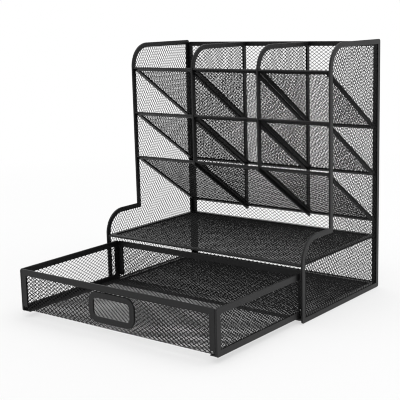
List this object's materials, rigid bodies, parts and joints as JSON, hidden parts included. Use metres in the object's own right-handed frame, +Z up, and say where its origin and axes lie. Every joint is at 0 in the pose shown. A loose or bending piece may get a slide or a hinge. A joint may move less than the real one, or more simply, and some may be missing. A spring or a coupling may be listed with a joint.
{
  "type": "pen stand with drawer",
  "caption": "Desk organizer of black steel mesh: L-shaped sides, sloping pockets between dividers, a shelf, and a drawer with a finger-hole handle that slides in below.",
  "frame": {"origin": "middle of the footprint on the desk plane, with the drawer pulled out as at rest", "axes": "+X to the right as seen from the drawer's front, +Y from the front to the back panel, +Z up"},
  "size_m": [0.274, 0.3084, 0.2855],
  "materials": {
    "rim_steel": "satin black powder coat on folded steel strip",
    "mesh_steel": "satin black powder coat on expanded steel mesh"
  },
  "bodies": {
    "stand": {"left_side_frame": "rim_steel", "left_side_mesh": "mesh_steel", "right_side_frame": "rim_steel", "right_side_mesh": "mesh_steel", "back_frame": "rim_steel", "back_mesh": "mesh_steel", "shelf_frame": "rim_steel", "shelf_mesh": "mesh_steel", "floor_frame": "rim_steel", "floor_mesh": "mesh_steel", "left_divider_frame": "rim_steel", "left_divider_mesh": "mesh_steel", "right_divider_frame": "rim_steel", "right_divider_mesh": "mesh_steel", "upper_left_pocket_frame": "rim_steel", "upper_left_pocket_mesh": "mesh_steel", "upper_centre_pocket_frame": "rim_steel", "upper_centre_pocket_mesh": "mesh_steel", "upper_right_pocket_frame": "rim_steel", "upper_right_pocket_mesh": "mesh_steel", "middle_left_pocket_frame": "rim_steel", "middle_left_pocket_mesh": "mesh_steel", "middle_centre_pocket_frame": "rim_steel", "middle_centre_pocket_mesh": "mesh_steel", "middle_right_pocket_frame": "rim_steel", "middle_right_pocket_mesh": "mesh_steel", "lower_left_pocket_frame": "rim_steel", "lower_left_pocket_mesh": "mesh_steel", "lower_centre_pocket_frame": "rim_steel", "lower_centre_pocket_mesh": "mesh_steel", "lower_right_pocket_frame": "rim_steel", "lower_right_pocket_mesh": "mesh_steel"},
    "drawer": {"drawer_left_frame": "rim_steel", "drawer_left_mesh": "mesh_steel", "drawer_right_frame": "rim_steel", "drawer_right_mesh": "mesh_steel", "drawer_front_rim": "rim_steel", "drawer_back_rim": "rim_steel", "drawer_pan_mesh": "mesh_steel", "handle_ring": "rim_steel"}
  },
  "joints": [
    {"name": "drawer_slide", "type": "slide", "parent": "stand", "child": "drawer", "axis": [0, -1, 0], "range_m": [-0.1415, 0]}
  ]
}
